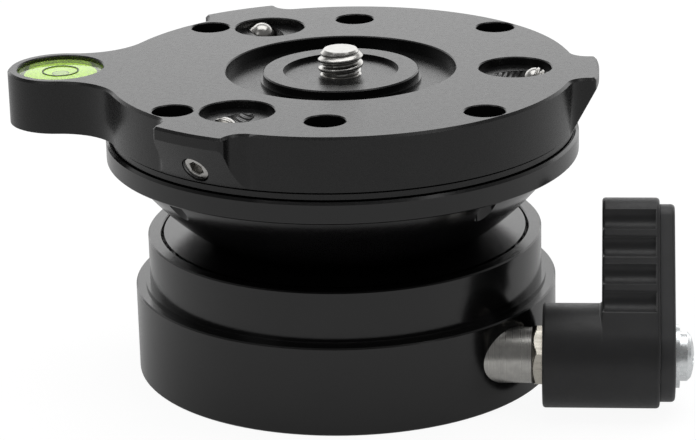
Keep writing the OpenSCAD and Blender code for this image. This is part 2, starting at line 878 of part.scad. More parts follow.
// One lock screw tab: a bar, two rounded corners and an arc about the axis, turned to a cone under the lip
module plate_tab(h) {
    half_w = tab_w / 2;
    corner_y = half_w - tab_corner;
    corner_x = sqrt(pow(tab_reach - tab_corner, 2) - pow(corner_y, 2));
    half_arc = atan2(corner_y, corner_x);
    difference() {
        union() {
            rotate([90, 0, 90])
                linear_extrude(height = corner_x)
                    polygon([[-half_w, 0], [half_w, 0], [half_w, h - plate_edge],
                        [half_w - plate_edge, h], [plate_edge - half_w, h], [-half_w, h - plate_edge]]);
            for (s = [-1, 1])
                translate([corner_x, s * corner_y, 0])
                    chamfered_disc(tab_corner, h, 0, plate_edge);
            rotate([0, 0, -half_arc])
                rotate_extrude(angle = 2 * half_arc)
                    polygon([[0, 0], [tab_reach, 0], [tab_reach, h - plate_edge],
                        [tab_reach - plate_edge, h], [0, h]]);
        }
        tab_cone(h);
    }
}

// Platform before its holes are cut
module plate_blank() {
    h = plate_t - rim_low;
    // Centre of the hollow blend that touches both the platform and the arm
    reach = plate_r + arm_blend;
    span = arm_r + arm_blend;
    lie = (pow(reach, 2) + pow(vial_x, 2) - pow(span, 2)) / (2 * vial_x);
    rise = sqrt(pow(reach, 2) - pow(lie, 2));
    // The same for the hollow blends beside a tab
    side = tab_w / 2 + tab_blend;
    foot = sqrt(pow(plate_r + tab_blend, 2) - pow(side, 2));
    chamfered_disc(plate_r, plate_t, 0, plate_edge);
    translate([-vial_x, 0, rim_low])
        chamfered_disc(arm_r, h, 0, plate_edge);
    translate([0, 0, rim_low])
        difference() {
            linear_extrude(height = h)
                polygon([[0, 0], [-lie, rise], [-vial_x, 0], [-lie, -rise]]);
            for (s = [-1, 1])
                translate([-lie, s * rise, 0])
                    blend_cut(arm_blend, h);
        }
    for (a = tab_angles)
        rotate([0, 0, a])
            translate([0, 0, rim_low]) {
                plate_tab(h);
                difference() {
                    linear_extrude(height = h)
                        polygon([[0, 0], [foot, -side], [foot, side]]);
                    for (s = [-1, 1])
                        translate([foot, s * side, 0])
                            blend_cut(tab_blend, h);
                    tab_cone(h);
                }
            }
}

module top_plate() {
    color(black)
        difference() {
            translate([0, 0, plate_z])
                plate_blank();
            // Narrower band under the rim, with a fine groove above it
            translate([0, 0, plate_z - cut])
                difference() {
                    cylinder(r = plate_d, h = rim_low + cut);
                    translate([0, 0, -cut])
                        cylinder(r = plate_r - band_in, h = band_h + 2 * cut);
                    translate([0, 0, -cut])
                        cylinder(r = plate_r - groove_in, h = rim_low + 3 * cut);
                }
            // Recess around the hub
            eased_hole(recess_d / 2, floor_z);
            translate([0, 0, plate_z - cut])
                cylinder(r = shank_d / 2 + seat_fit, h = plate_t);
            // Stepped holes of the platform screws
            at_plate_screws() {
                eased_hole(screw_hole_d / 2, head_seat_z);
                translate([0, 0, plate_z - cut])
                    cylinder(r = screw_d / 2 + seat_fit, h = plate_t);
            }
            // Large shallow holes, and the lock screw threads that come up in them
            for (a = tab_angles) {
                rotate([0, 0, a])
                    translate([pocket_r, 0, 0])
                        eased_hole(pocket_d / 2, top_z - pocket_depth);
                on_lock_axis(a)
                    translate([0, 0, -plate_t])
                        cylinder(r = lock_d / 2 + run_fit, h = plate_t + lock_run);
            }
            // Vial pocket
            translate([-vial_x, 0, 0])
                eased_hole(vial_d / 2, vial_low);
        }
}

module plate_screws() {
    color(deep_black)
        at_plate_screws()
            difference() {
                union() {
                    translate([0, 0, plate_z - screw_bite])
                        cylinder(r = screw_d / 2, h = screw_bite + screw_floor + cut);
                    translate([0, 0, head_seat_z])
                        cylinder(r = screw_head_d / 2, h = screw_head_h);
                }
                translate([0, 0, head_seat_z + screw_head_h / 2])
                    hex_bar(screw_head_d / 2, screw_head_h);
            }
}

module stud_hub() {
    foot = 0.35;
    color(black)
        difference() {
            union() {
                translate([0, 0, floor_z])
                    chamfered_disc(hub_d / 2, hub_z - floor_z, 0, plate_edge / 2);
                translate([0, 0, floor_z])
                    cylinder(r = hub_d / 2 + foot, h = foot);
                translate([0, 0, plate_z - hub_nut_h])
                    cylinder(r = shank_d / 2, h = floor_z - plate_z + hub_nut_h + foot);
            }
            translate([0, 0, hub_z - dish_depth])
                cylinder(r = dish_d / 2, h = plate_t);
            translate([0, 0, plate_z + cut])
                cylinder(r = root_d / 2 + seat_fit, h = plate_t);
        }
}

module hub_nut() {
    color(dark_steel)
        translate([0, 0, plate_z - hub_nut_h])
            difference() {
                cylinder(r = hub_nut_d / 2, h = hub_nut_h);
                translate([0, 0, -cut])
                    cylinder(r = shank_d / 2 + seat_fit, h = hub_nut_h + 2 * cut);
            }
}

module camera_stud() {
    dish_z = hub_z - dish_depth;
    color(steel) {
        translate([0, 0, plate_z + cut])
            cylinder(r = root_d / 2, h = top_z - plate_z - cut);
        translate([0, 0, dish_z])
            chamfered_disc(stud_d / 2, top_z + stud_rise - dish_z, 0, 2 * base_edge);
    }
}

module vial_cup() {
    color("#d9e6b0", 0.6)
        translate([-vial_x, 0, 0])
            difference() {
                translate([0, 0, vial_low])
                    cylinder(r = vial_r, h = vial_top - vial_low);
                translate([0, 0, fluid_low])
                    cylinder(r = fluid_r, h = fluid_top - fluid_low);
            }
}

// Lens-shaped bubble under the top of the fluid
module bubble_shape(grow) {
    r = bubble_d / 2;
    flat = 0.35 * bubble_d;
    curve = (pow(r, 2) + pow(flat, 2)) / (2 * flat) + grow;
    translate([-vial_x, 0, fluid_top - seat_fit])
        intersection() {
            translate([0, 0, curve - flat - grow])
                sphere(r = curve);
            translate([0, 0, -flat - cut])
                cylinder(r = r + grow, h = flat + cut - seat_fit + grow);
        }
}

module vial_fluid() {
    color("#b9d75a")
        difference() {
            translate([-vial_x, 0, fluid_low + seat_fit])
                cylinder(r = fluid_r - seat_fit, h = fluid_top - fluid_low - 2 * seat_fit);
            bubble_shape(seat_fit);
        }
}

module vial_bubble() {
    color("#eef6c8")
        bubble_shape(0);
}

module vial_mark() {
    line = 0.2;
    color(dark_steel)
        translate([-vial_x, 0, vial_top])
            difference() {
                cylinder(r = mark_d / 2 + line / 2, h = line / 2);
                translate([0, 0, -cut])
                    cylinder(r = mark_d / 2 - line / 2, h = line + 2 * cut);
            }
}

// Lock screw with a hexagon socket at the outer end and a rounded tip
module lock_screw(a) {
    color(steel)
        on_lock_axis(a)
            translate([0, 0, lock_sink])
                difference() {
                    intersection() {
                        cylinder(r = lock_d / 2, h = lock_l);
                        translate([0, 0, lock_l - lock_d / 2 - lock_tip_l / 4])
                            sphere(r = lock_l);
                        union() {
                            cylinder(r = lock_d / 2, h = lock_l - lock_tip_l);
                            translate([0, 0, lock_l - lock_d / 2])
                                sphere(r = lock_d / 2);
                        }
                    }
                    translate([0, 0, -cut])
                        hex_bar(lock_hex, lock_d / 2 + cut);
                }
}

module lock_screw_right() {
    lock_screw(tab_angles[0]);
}

module lock_screw_back() {
    lock_screw(tab_angles[1]);
}

module lock_screw_front() {
    lock_screw(tab_angles[2]);
}

base_body();
seat_ring();
bottom_cover();
thread_insert();
cover_screws();
shaft_bush();
fulcrum_pin();
cam_shaft();
lever_knob();
lever_cover();
lever_washer();
lever_screw();
clamp_yoke();
clamp_dome();
dome_washer();
draw_bolt();
cross_nut();
friction_liner();
slip_washer();
half_ball();
top_plate();
plate_screws();
stud_hub();
hub_nut();
camera_stud();
vial_cup();
vial_fluid();
vial_bubble();
vial_mark();
lock_screw_front();
lock_screw_right();
lock_screw_back();
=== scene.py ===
import math

import bmesh
import bpy
from mathutils import Matrix, Vector


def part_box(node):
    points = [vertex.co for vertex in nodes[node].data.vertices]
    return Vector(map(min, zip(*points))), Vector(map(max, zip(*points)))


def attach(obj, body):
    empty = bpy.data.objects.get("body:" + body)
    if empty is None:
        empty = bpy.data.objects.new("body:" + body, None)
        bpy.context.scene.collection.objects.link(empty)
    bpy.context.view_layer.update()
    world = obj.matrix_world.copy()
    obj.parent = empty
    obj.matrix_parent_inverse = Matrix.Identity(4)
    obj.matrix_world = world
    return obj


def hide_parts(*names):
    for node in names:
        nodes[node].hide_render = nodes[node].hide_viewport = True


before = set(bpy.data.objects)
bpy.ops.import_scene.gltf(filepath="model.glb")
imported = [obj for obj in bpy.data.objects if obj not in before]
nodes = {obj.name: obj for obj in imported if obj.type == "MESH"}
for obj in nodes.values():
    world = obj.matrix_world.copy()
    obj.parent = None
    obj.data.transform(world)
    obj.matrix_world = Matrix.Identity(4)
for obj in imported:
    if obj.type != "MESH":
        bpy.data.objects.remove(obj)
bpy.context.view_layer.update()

scene = bpy.context.scene

# Lengths are millimetres in the part's own frame, and metres in the studio; MM turns one into the other
MM = 0.001
TO_METRES = Matrix.Scale(MM, 4)

# Camera at the photograph's viewing angle, in degrees, with its aim and its distance
CAMERA_TURN, CAMERA_RISE, CAMERA_ROLL = 5, 19.08, -1.42
CAMERA_AIM = (0.488, 0.043, 20.59)
CAMERA_DISTANCE = 423.29
CAMERA_LENS, CAMERA_SENSOR = 153.53, 36
CAMERA_NEAR, CAMERA_FAR = 10, 20000

# Points round a circle, a hexagon, the lever's hub and the eccentric, and steps of a rounded edge
AROUND, HEX_AROUND, HUB_AROUND, CAM_AROUND = 64, 72, 112, 48
EDGE_STEPS = 4

# Rings in each pitch of a thread, and the flat shares of the pitch on its crest and in its root
THREAD_STEPS = 16
THREAD_CREST, THREAD_ROOT = 0.2, 0.2
STUD_CREST, STUD_ROOT = 0.16, 0.1

# Degrees between two faces above which their edge is shaded as sharp
SHARP, LEVER_SHARP = 35, 50

# Points nearer than this are one point
SAME_POINT = 1e-5

# Values between which most of a noise lies, and the detail of the tool marks
NOISE_LOW, NOISE_HIGH = 0.3, 0.7
MARK_DETAIL = 3.0

# Cosine of the turn of a softened face direction: on an open face, and on an edge fully painted paler, as
# wear on the anodised parts and as wear with painted highlight on the lever
OPEN_FACE, WORN_AND_HIGHLIT_EDGE = 0.99, 0.8

# Camera stud with a quarter inch thread, which starts above the floor of the hub's dish
STUD_SHANK_R, STUD_R, STUD_ROOT_R, STUD_END_R = 2.9, 3.175, 2.58, 2.3
STUD_PITCH = 1.27
STUD_RELIEF, STUD_STEP, STUD_CHAMFER = 0.25, 0.05, 0.06
STUD_RUN_IN, STUD_TAPER = 1.2, 0.9
DISH_FLOOR = 42.4

# Lock screws: start of the axis on a tab, its slope in degrees, and where the screw lies along it
LOCK_X, LOCK_Z, LOCK_SLOPE = 34.026, 37.7, 28.0
LOCK_START, LOCK_END = 0.3, 9.5
LOCK_R, LOCK_BORE_R = 1.86, 2.05
LOCK_PITCH, LOCK_DEPTH = 0.7, 0.36
LOCK_FACE_IN, LOCK_EDGE = 0.1, 0.04
TABS = {"right": 0, "back": 120, "front": 240}

# Hexagon socket of a lock screw: width over flats, at the mouth too, and depths from the screw's face
SOCKET_FLATS, SOCKET_MOUTH = 2.0, 2.2
SOCKET_EASE, SOCKET_WALL, SOCKET_POINT, SOCKET_POINT_R = 0.12, 1.9, 2.3, 0.2

# Round tip of a lock screw: reach of the thread past its centre, and its rings in degrees
LOCK_TIP_THREAD = 0.75
LOCK_TIP_START, LOCK_TIP_TURN, LOCK_TIP_RINGS = 26, 6, 11

# Tapped thread of a lock screw's bore, cut off at the floor of the platform's pocket
TAPPED_GAP, TAPPED_DEPTH = 0.006, 0.16
TAPPED_START, TAPPED_END = 0.25, 14.5
POCKET_FLOOR, POCKET_GAP = 42.15, 0.01

# Lever, seen along its shaft: a hub and a tip joined by straight sides, with flutes cut in both sides
SHAFT_Y, SHAFT_Z = -18.0, 7.3
HUB_R, TIP_R, TIP_H = 7.2, 3.6, 18.7
LEAN = math.asin((HUB_R - TIP_R) / TIP_H)
BLADE_W = 7.9
BLADE_LEAN = math.radians(33)
FLUTE_R, FLUTE_OUT = 1.65, 0.7
FLUTE_TOP, FLUTE_PITCH, FLUTES = 18.55, 4.05, 4
HUB_STEP, SIDE_STEP = 0.4, 0.14

# Rounded edges of the lever, the length over which the blade's inner edge fades into the hub, and the lid
INNER_ROUND, OUTER_ROUND = 0.45, 0.5
ROUND_FADE = 1.5
EDGE_SUPPORT = 0.06
LID_IN, LID_LOW_ROUND, LID_HIGH_ROUND = 0.9, 0.1, 0.55

# Fillet between hub and blade: radius, its share of the blade's rise above the hub, and its grid in degrees
FILLET_R, FILLET_SHARE = 0.4, 0.5
FILLET_START, FILLET_TURN, FILLET_ROWS, FILLET_STEPS = 20, 3.5, 41, 6
FILLET_LEAST = 0.05

# Lever shaft: journal, chamfered hexagon, eccentric and tail
JOURNAL_R = 2.75
HEX_START, HEX_FLATS, HEX_TURN = 27.139, 8.0, -22
HEX_FACE_R, HEX_CHAMFER, HEX_RINGS, HEX_RING_STEP, HEX_FULL = 3.88, 1.3, 9, 0.07, 0.62
CAM_HALF, CAM_R, CAM_OUT, CAM_EASE = 5.5, 2.1, -0.6, 0.2
TAIL_R, TAIL_EASE = 2.0, 0.3

# Vial: eased edges of the body, and the bubble with a dark ring of painted shade round its edge
VIAL_EASE, VIAL_ROUND = 0.2, 0.15
BUBBLE_DEPTH, BUBBLE_STEPS, BUBBLE_LEAST_R = 0.7, 8, 0.05
BUBBLE_TOP, BUBBLE_CROWN, BUBBLE_CROWN_H = 0.97, 0.6, 0.01
BUBBLE_SHADE_R, BUBBLE_SHADE_STEPS = 0.07, 8

# Studio: half the floor's side in metres, the room's dim level, and watts for a square metre of radiance 1
FLOOR_HALF = 4
ROOM_LEVEL = 0.16
LAMP_POWER = 4


def camera():
    """Camera at the photograph's viewing angle, with a small roll."""
    data = bpy.data.cameras.new("camera")
    data.sensor_width = CAMERA_SENSOR
    data.lens = CAMERA_LENS
    data.clip_start = CAMERA_NEAR * MM
    data.clip_end = CAMERA_FAR * MM
    made = bpy.data.objects.new("camera", data)
    scene.collection.objects.link(made)
    turn, rise = math.radians(CAMERA_TURN), math.radians(CAMERA_RISE)
    back = Vector((math.sin(turn) * math.cos(rise), -math.cos(turn) * math.cos(rise), math.sin(rise)))
    place = Matrix.Translation(Vector(CAMERA_AIM) * MM + back * CAMERA_DISTANCE * MM)
    aim = (-back).to_track_quat("-Z", "Y").to_matrix().to_4x4()
    roll = Matrix.Rotation(math.radians(CAMERA_ROLL), 4, "Z")
    made.matrix_world = place @ aim @ roll
    scene.camera = made


class Graph:
    """Shader nodes of a material or of the world."""

    def __init__(self, owner):
        owner.use_nodes = True
        self.tree = owner.node_tree

    def node(self, kind, **settings):
        made = self.tree.nodes.new("ShaderNode" + kind)
        for key, value in settings.items():
            setattr(made, key, value)
        return made

    def link(self, source, target):
        self.tree.links.new(source, target)

    def math(self, operation, *values):
        """Result of a Math node on sockets or plain numbers."""
        made = self.node("Math", operation=operation)
        for value, target in zip(values, made.inputs):
            if isinstance(value, float):
                target.default_value = value
            else:
                self.link(value, target)
        return made.outputs[0]

    def ranged(self, value, start, end, low, high):
        """A number that is low where value is start, and high where it is end."""
        made = self.node("MapRange")
        for key, number in (("From Min", start), ("From Max", end), ("To Min", low), ("To Max", high)):
            made.inputs[key].default_value = number
        self.link(value, made.inputs["Value"])
        return made.outputs["Result"]

    def rays(self, *kinds):
        """1 for the named kinds of ray and 0 for the rest."""
        path = self.node("LightPath")
        amount = path.outputs[kinds[0]]
        for kind in kinds[1:]:
            amount = self.math("MAXIMUM", amount, path.outputs[kind])
        return amount

    def either(self, amount, others, shown):
        """The shader shown where amount is 1, and the other one where it is 0."""
        made = self.node("MixShader")
        for source, target in zip((amount, others, shown), made.inputs):
            self.link(source, target)
        return made.outputs[0]

    def glowing(self, color, glow):
        """Pale diffuse surface with some light of its own."""
        diffuse = self.node("BsdfDiffuse")
        diffuse.inputs["Color"].default_value = (color, color, color, 1)
        emission = self.node("Emission")
        emission.inputs["Strength"].default_value = glow
        both = self.node("AddShader")
        self.link(diffuse.outputs[0], both.inputs[0])
        self.link(emission.outputs[0], both.inputs[1])
        return both.outputs[0]


class Paint(Graph):
    """One procedural material: a Principled shader and the nodes that feed it."""

    def __init__(self, name, color, roughness, **sockets):
        self.material = bpy.data.materials.new(name)
        super().__init__(self.material)
        self.shader = self.tree.nodes["Principled BSDF"]
        self.coordinates = None
        self.set("Base Color", (*color, 1))
        self.set("Roughness", roughness)
        # The other sockets are keywords, with _ for a space
        for key, value in sockets.items():
            self.set(key.replace("_", " ").title().replace("Ior", "IOR"), value)

    def set(self, socket, value):
        self.shader.inputs[socket].default_value = value

    def feed(self, socket, source):
        self.link(source, self.shader.inputs[socket])

    def place(self):
        """Position on the piece, in metres, which stays with the piece when it moves."""
        if self.coordinates is None:
            self.coordinates = self.node("TexCoord").outputs["Object"]
        return self.coordinates

    def noise(self, size, detail):
        """Soft spots about size millimetres across."""
        made = self.node("TexNoise")
        made.inputs["Scale"].default_value = 1 / (size * MM)
        made.inputs["Detail"].default_value = detail
        self.link(self.place(), made.inputs["Vector"])
        return made.outputs["Fac"]

    def along(self, axis):
        """Distance along X, Y or Z, or for TURN the distance from the Z axis plus the height."""
        split = self.node("SeparateXYZ")
        self.link(self.place(), split.inputs[0])
        if axis != "TURN":
            return split.outputs[axis]
        flat = self.node("CombineXYZ")
        self.link(split.outputs["X"], flat.inputs["X"])
        self.link(split.outputs["Y"], flat.inputs["Y"])
        length = self.node("VectorMath", operation="LENGTH")
        self.link(flat.outputs[0], length.inputs[0])
        return self.math("ADD", length.outputs["Value"], split.outputs["Z"])

    def lines(self, axis, size):
        """Uneven tool marks about size millimetres apart."""
        made = self.node("TexNoise", noise_dimensions="1D")
        made.inputs["Scale"].default_value = 1 / (size * MM)
        made.inputs["Detail"].default_value = MARK_DETAIL
        self.link(self.along(axis), made.inputs["W"])
        return made.outputs["Fac"]

    def spread(self, value, low, high):
        """A noise value as a number from low to high."""
        return self.ranged(value, NOISE_LOW, NOISE_HIGH, low, high)

    def shade(self, value, dark, light):
        """A noise value as a colour from dark to light."""
        made = self.node("ValToRGB")
        stops = zip(made.color_ramp.elements, (NOISE_LOW, NOISE_HIGH), (dark, light))
        for stop, place, color in stops:
            stop.position = place
            stop.color = (*color, 1)
        self.link(value, made.inputs["Fac"])
        return made.outputs["Color"]

    def edges(self, width, most):
        """From 0 on open faces to most on sharp edges, within width millimetres."""
        soft = self.node("Bevel", samples=6)
        soft.inputs["Radius"].default_value = width * MM
        plain = self.node("NewGeometry")
        dot = self.node("VectorMath", operation="DOT_PRODUCT")
        self.link(soft.outputs["Normal"], dot.inputs[0])
        self.link(plain.outputs["Normal"], dot.inputs[1])
        return self.ranged(dot.outputs["Value"], OPEN_FACE, WORN_AND_HIGHLIT_EDGE, 0, most)

    def above(self, value, height):
        """The value above a height in millimetres, fading to 0 just below it."""
        fade = self.ranged(self.along("Z"), (height - 1) * MM, height * MM, 0, 1)
        return self.math("MULTIPLY", value, fade)

    def mix(self, amount, first, second):
        """The first colour, from nodes, mixed with the second, which is plain numbers."""
        made = self.node("MixRGB")
        self.link(amount, made.inputs["Fac"])
        self.link(first, made.inputs["Color1"])
        made.inputs["Color2"].default_value = (*second, 1)
        return made.outputs["Color"]

    def bump(self, height, depth, strength=1.0):
        """Relief of depth millimetres."""
        made = self.node("Bump")
        made.inputs["Strength"].default_value = strength
        made.inputs["Distance"].default_value = depth * MM
        self.link(height, made.inputs["Height"])
        self.feed("Normal", made.outputs["Normal"])


def anodised(name, dark, light, rough, marks, gloss):
    """Satin black anodised aluminium: cloudy dye, etched grain, faint tool marks and paler worn edges."""
    paint = Paint(name, light, rough, ior=gloss)
    color = paint.shade(paint.noise(size=7, detail=4), dark, light)
    worn = paint.edges(width=0.1, most=0.2)
    paint.feed("Base Color", paint.mix(worn, color, (0.03, 0.03, 0.031)))
    polish = paint.noise(size=0.6, detail=4)
    paint.feed("Roughness", paint.spread(polish, rough - 0.03, rough + 0.03))
    grain = paint.noise(size=0.11, detail=2)
    paint.bump(paint.math("ADD", grain, paint.lines("TURN", marks)), depth=0.0006)
    return paint.material


def bare_metal(name, dark, light, rough, axis, marks, depth):
    """Turned or plated metal: tool marks along an axis, uneven polish and slightly dull spots."""
    paint = Paint(name, light, rough, metallic=1.0)
    tool = paint.lines(axis, marks)
    paint.feed("Base Color", paint.shade(paint.noise(size=0.9, detail=5), dark, light))
    paint.feed("Roughness", paint.spread(tool, rough - 0.07, rough + 0.07))
    paint.bump(tool, depth)
    return paint.material


def zinc_plate():
    """Bluish bright zinc plate with a mottled, slightly crystalline face."""
    paint = Paint("zinc", (0.76, 0.79, 0.8), 0.24, metallic=1.0)
    cells = paint.node("TexVoronoi")
    cells.inputs["Scale"].default_value = 1 / (0.5 * MM)
    paint.link(paint.place(), cells.inputs["Vector"])
    color = paint.shade(cells.outputs["Distance"], (0.94, 0.96, 0.97), (0.86, 0.89, 0.9))
    paint.feed("Base Color", color)
    paint.feed("Roughness", paint.spread(paint.noise(size=0.4, detail=4), 0.24, 0.4))
    paint.bump(paint.noise(size=0.6, detail=3), depth=0.02, strength=0.8)
    return paint.material


def black_oxide():
    """Oiled black steel of the inner screws and of the clamp."""
    paint = Paint("black_steel", (0.02, 0.02, 0.021), 0.4, ior=1.6)
    spots = paint.noise(size=1.5, detail=4)
    paint.feed("Base Color", paint.shade(spots, (0.012, 0.012, 0.012), (0.026, 0.025, 0.024)))
    paint.feed("Roughness", paint.spread(paint.noise(size=0.4, detail=3), 0.32, 0.5))
    paint.bump(paint.noise(size=0.15, detail=2), depth=0.004)
    return paint.material


def moulded_plastic(name, dark, light, rubbed_and_highlit_from):
    """Matte black nylon with a spark-eroded skin, and edges above some height painted paler, as rubbing
    wear and as painted highlight.
    """
    paint = Paint(name, light, 0.46, ior=1.5, sheen_weight=0.16, sheen_roughness=0.4)
    color = paint.shade(paint.noise(size=3.5, detail=4), dark, light)
    # Edges above the height are painted paler: partly rubbing wear, partly a painted highlight along the
    # ridges
    rubbed_and_highlit = paint.above(paint.edges(width=0.22, most=1), rubbed_and_highlit_from)
    paint.feed("Base Color", paint.mix(rubbed_and_highlit, color, (0.13, 0.13, 0.132)))
    paint.feed("Roughness", paint.spread(paint.noise(size=0.5, detail=4), 0.4, 0.52))
    paint.bump(paint.noise(size=0.16, detail=3), depth=0.006)
    return paint.material


def clear_acrylic():
    """Clear, slightly milky acrylic of the vial."""
    paint = Paint("vial_clear", (0.86, 0.92, 0.78), 0.05, ior=1.34, transmission_weight=0.8)
    cloud = paint.noise(size=2, detail=3)
    paint.feed("Base Color", paint.shade(cloud, (0.84, 0.9, 0.74), (0.88, 0.93, 0.8)))
    paint.feed("Roughness", paint.spread(paint.noise(size=0.7, detail=3), 0.03, 0.07))
    return paint.material


def lime_fluid():
    """Fluorescent lime-green fluid seen through the acrylic; its glow is painted light that stands in for
    the light reaching it through the acrylic.
    """
    # The emission is painted light, standing in for the light that reaches the fluid through the acrylic
    paint = Paint(
        "vial_green", (0.46, 0.7, 0.04), 0.15,
        ior=1.2, emission_color=(0.4, 0.62, 0.02, 1), emission_strength=0.5,
    )
    cloud = paint.noise(size=4, detail=2)
    paint.feed("Base Color", paint.shade(cloud, (0.42, 0.66, 0.03), (0.5, 0.74, 0.05)))
    paint.feed("Roughness", paint.spread(paint.noise(size=1, detail=2), 0.1, 0.2))
    return paint.material


def bubble_air():
    """Pale air bubble."""
    paint = Paint("vial_air", (0.6, 0.78, 0.26), 0.08, ior=1.2)
    cloud = paint.noise(size=0.8, detail=2)
    paint.feed("Base Color", paint.shade(cloud, (0.57, 0.76, 0.22), (0.64, 0.82, 0.3)))
    return paint.material


def ink_and_bubble_shade():
    """Dark green print of the ring, and the painted shade at the edge of the bubble."""
    paint = Paint("vial_line", (0.02, 0.04, 0.012), 0.45)
    spots = paint.noise(size=0.3, detail=3)
    paint.feed("Base Color", paint.shade(spots, (0.016, 0.034, 0.01), (0.03, 0.055, 0.02)))
    paint.bump(paint.noise(size=0.1, detail=2), depth=0.004)
    return paint.material


# Anodised finishes: dark and light of the dye, roughness, distance of the tool marks, index of refraction
ANODISED = {
    "anodised_black": ((0.003, 0.003, 0.0032), (0.0055, 0.0055, 0.0057), 0.18, 0.3, 1.55),
    "anodised_seat": ((0.004, 0.004, 0.0045), (0.008, 0.008, 0.0085), 0.2, 0.22, 1.5),
    "anodised_plate": ((0.0045, 0.0045, 0.0047), (0.0075, 0.0075, 0.0077), 0.27, 0.4, 1.48),
}

# Bare metals: dark and light colour, roughness, and axis, distance and depth of the tool marks
BARE_METALS = {
    "stainless": ((0.5, 0.49, 0.47), (0.57, 0.56, 0.54), 0.26, "Z", 0.3, 0.0006),
    "turned_steel": ((0.47, 0.46, 0.44), (0.57, 0.56, 0.53), 0.32, "X", 0.16, 0.0018),
    "nickel": ((0.54, 0.51, 0.45), (0.64, 0.61, 0.54), 0.22, "Z", 0.5, 0.002),
    "bronze": ((0.36, 0.24, 0.1), (0.5, 0.34, 0.15), 0.34, "TURN", 0.2, 0.003),
    "tapped_metal": ((0.1, 0.1, 0.1), (0.18, 0.18, 0.18), 0.24, "Z", 0.3, 0.001),
}

# Plastics: dark and light colour, and the height above which edges are painted paler, as rubbing wear and
# as painted highlight
PLASTICS = {
    "lever_plastic": ((0.023, 0.023, 0.024), (0.029, 0.029, 0.0302), 12),
    "lid_plastic": ((0.042, 0.042, 0.044), (0.052, 0.052, 0.054), 1),
}

# CAD nodes by the finish that they get
FINISHES = {
    "anodised_black": ["base_body", "bottom_cover", "half_ball"],
    "anodised_seat": ["seat_ring"],
    "anodised_plate": ["top_plate", "stud_hub"],
    "stainless": ["thread_insert", "camera_stud", *["lock_screw_" + side for side in TABS]],
    "turned_steel": [
        "shaft_bush", "fulcrum_pin", "clamp_dome", "dome_washer", "draw_bolt", "cross_nut",
    ],
    "nickel": ["cam_shaft"],
    "zinc": ["lever_washer", "lever_screw"],
    "black_steel": ["cover_screws", "clamp_yoke", "plate_screws", "hub_nut"],
    "bronze": ["friction_liner", "slip_washer"],
    "lever_plastic": ["lever_knob", "lever_cover"],
    "vial_clear": ["vial_cup"],
    "vial_green": ["vial_fluid"],
    "vial_air": ["vial_bubble"],
    "vial_line": ["vial_mark"],
}


def make_materials():
    """Every finish by its name."""
    made = {
        "zinc": zinc_plate(),
        "black_steel": black_oxide(),
        "vial_clear": clear_acrylic(),
        "vial_green": lime_fluid(),
        "vial_air": bubble_air(),
        "vial_line": ink_and_bubble_shade(),
    }
    for maker, table in ((anodised, ANODISED), (bare_metal, BARE_METALS), (moulded_plastic, PLASTICS)):
        for name, values in table.items():
            made[name] = maker(name, *values)
    return made


MATERIALS = make_materials()


def paint_nodes():
    """Gives every CAD node its finish."""
    for finish, names in FINISHES.items():
        for name in names:
            mesh = nodes[name].data
            mesh.materials.clear()
            mesh.materials.append(MATERIALS[finish])


def add_rings(bm, rings, capped=True):
    """Skin over closed rings of points, with flat ends where asked."""
    rows = [[bm.verts.new(point) for point in ring] for ring in rings]
    for low, high in zip(rows, rows[1:]):
        for i, corner in enumerate(low):
            j = (i + 1) % len(low)
            bm.faces.new((corner, low[j], high[j], high[i]))
    if capped:
        bm.faces.new(list(reversed(rows[0])))
        bm.faces.new(rows[-1])


def add_piece(
    name, bm, slot, body, stands_for=(), placed=Matrix.Identity(4), finish=None, sharp=SHARP, clip_top=None
):
    """Turns a mesh in millimetres into a piece on its body, with its slot's finish or another one."""
    bmesh.ops.remove_doubles(bm, verts=bm.verts, dist=SAME_POINT)
    bmesh.ops.transform(bm, matrix=placed, verts=bm.verts)
    if clip_top is not None:
        everything = [*bm.verts, *bm.edges, *bm.faces]
        bmesh.ops.bisect_plane(
            bm, geom=everything, plane_co=(0, 0, clip_top), plane_no=(0, 0, 1), clear_outer=True
        )
    bmesh.ops.transform(bm, matrix=TO_METRES, verts=bm.verts)
    # A clipped piece is an open skin, whose faces already look the right way
    if clip_top is None:
        bmesh.ops.recalc_face_normals(bm, faces=bm.faces)
    for face in bm.faces:
        face.smooth = True
    for edge in bm.edges:
        if len(edge.link_faces) == 2 and edge.calc_face_angle() > math.radians(sharp):
            edge.smooth = False
    mesh = bpy.data.meshes.new(name)
    bm.to_mesh(mesh)
    bm.free()
    mesh.materials.append(MATERIALS[finish or slot])
    made = bpy.data.objects.new(name, mesh)
    scene.collection.objects.link(made)
    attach(made, body)
    if stands_for:
        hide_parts(*stands_for)


def circle(radius, height, around=AROUND, centre=(0.0, 0.0)):
    """Ring of points about local Z."""
    turns = [2 * math.pi * k / around for k in range(around)]
    return [(centre[0] + radius * math.cos(t), centre[1] + radius * math.sin(t), height) for t in turns]


def hexagon(across_flats, height, turn=0.0):
    """Ring of points on a hexagon about local Z, with a corner turned by some degrees from local X."""
    ring = []
    for k in range(HEX_AROUND):
        t = 2 * math.pi * k / HEX_AROUND
        off = (t + math.pi / 6) % (math.pi / 3) - math.pi / 6
        r = across_flats / 2 / math.cos(math.pi / 6 - abs(off))
        t += math.radians(turn)
        ring.append((r * math.cos(t), r * math.sin(t), height))
    return ring


def rounding():
    """Shares of an edge's radius that are missing across and along, from the side round to the end."""
    turns = [math.pi / 2 * k / EDGE_STEPS for k in range(EDGE_STEPS + 1)]
    return [(1 - math.cos(a), 1 - math.sin(a)) for a in turns]


def thread_groove(phase, crest, root):
    """Depth of a thread over one pitch, from 0 on the crest to 1 in the root, as shares of the pitch."""
    off_crest = abs(phase - 0.5) * 2
    fall = min(max((off_crest - crest) / (1 - crest - root), 0), 1)
    return fall * fall * (3 - 2 * fall)


